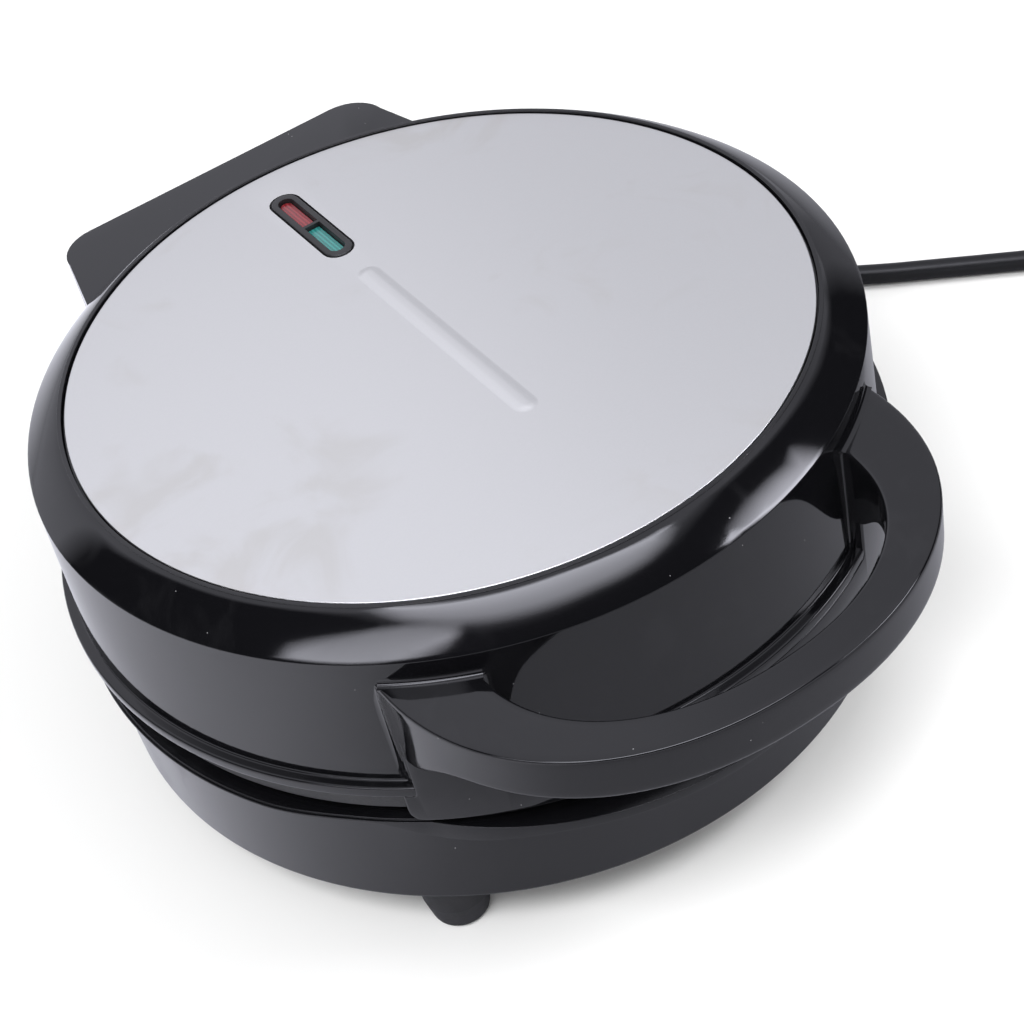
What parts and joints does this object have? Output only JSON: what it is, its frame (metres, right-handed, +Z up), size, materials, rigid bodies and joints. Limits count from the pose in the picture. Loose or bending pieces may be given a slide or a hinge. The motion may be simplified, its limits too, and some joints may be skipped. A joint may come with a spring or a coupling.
{
  "type": "waffle maker",
  "caption": "Round table-top waffle maker: hinged lid with steel top, D handle and indicator lights over a base with feet, gridded cooking plates, heaters and a mains lead.",
  "frame": {"origin": "on the floor, midway between the front of the handle and the back of the hinge shelf", "axes": "+Z up, +Y from the handle towards the hinge, +X to the right as seen from the handle"},
  "size_m": [0.361, 0.3372, 0.1025],
  "materials": {
    "black_gloss": "glossy black moulded plastic",
    "black_satin": "satin dark plastic",
    "satin_steel": "satin stainless steel",
    "plain_steel": "zinc plated steel",
    "bright_metal": "bright rolled sheet",
    "heater_sheath": "heat darkened steel tube",
    "non_stick": "dark non-stick coating on cast aluminium",
    "red_lens": "clear red plastic",
    "green_lens": "clear green plastic",
    "lamp_glass": "clear glass",
    "foot_rubber": "matte black rubber",
    "cord_sheath": "matte black flexible sheath",
    "lead_sleeve": "off-white glass fibre sleeve",
    "terminal_plastic": "off-white heat proof plastic",
    "thermostat_body": "pale ceramic and moulding",
    "pin_brass": "polished brass"
  },
  "bodies": {
    "base": {"base_housing": "black_gloss", "lower_cooking_plate": "non_stick", "lower_heating_element": "heater_sheath", "lower_heat_shield": "bright_metal", "thermostat": "thermostat_body", "terminal_block": "terminal_plastic", "lower_heater_lead": "lead_sleeve", "thermostat_lead": "lead_sleeve", "supply_lead_left": "lead_sleeve", "supply_lead_right": "lead_sleeve", "hinge_pin_left": "plain_steel", "hinge_pin_right": "plain_steel", "cord_gland": "cord_sheath", "power_cord_run": "cord_sheath", "power_cord_coil": "cord_sheath", "plug_body": "cord_sheath", "plug_pin_left": "pin_brass", "plug_pin_right": "pin_brass", "lower_plate_screw_1": "plain_steel", "lower_plate_screw_2": "plain_steel", "lower_plate_screw_3": "plain_steel", "lower_plate_screw_4": "plain_steel", "foot_front_left": "foot_rubber", "foot_front_right": "foot_rubber", "foot_rear_left": "foot_rubber", "foot_rear_right": "foot_rubber"},
    "lid": {"lid_housing": "black_gloss", "steel_top_plate": "satin_steel", "indicator_frame": "black_satin", "red_lens": "red_lens", "green_lens": "green_lens", "power_lamp": "lamp_glass", "ready_lamp": "lamp_glass", "upper_cooking_plate": "non_stick", "upper_heating_element": "heater_sheath", "upper_heat_shield": "bright_metal", "thermal_fuse": "lead_sleeve", "upper_heater_lead_left": "lead_sleeve", "upper_heater_lead_right": "lead_sleeve", "power_lamp_lead": "lead_sleeve", "ready_lamp_lead": "lead_sleeve", "upper_plate_screw_1": "plain_steel", "upper_plate_screw_2": "plain_steel", "upper_plate_screw_3": "plain_steel", "upper_plate_screw_4": "plain_steel"}
  },
  "joints": [
    {"name": "lid_hinge", "type": "hinge", "parent": "base", "child": "lid", "pos_m": [0, 0.1245, 0.052], "axis": [-1, 0, 0], "range_deg": [0, 100]}
  ]
}
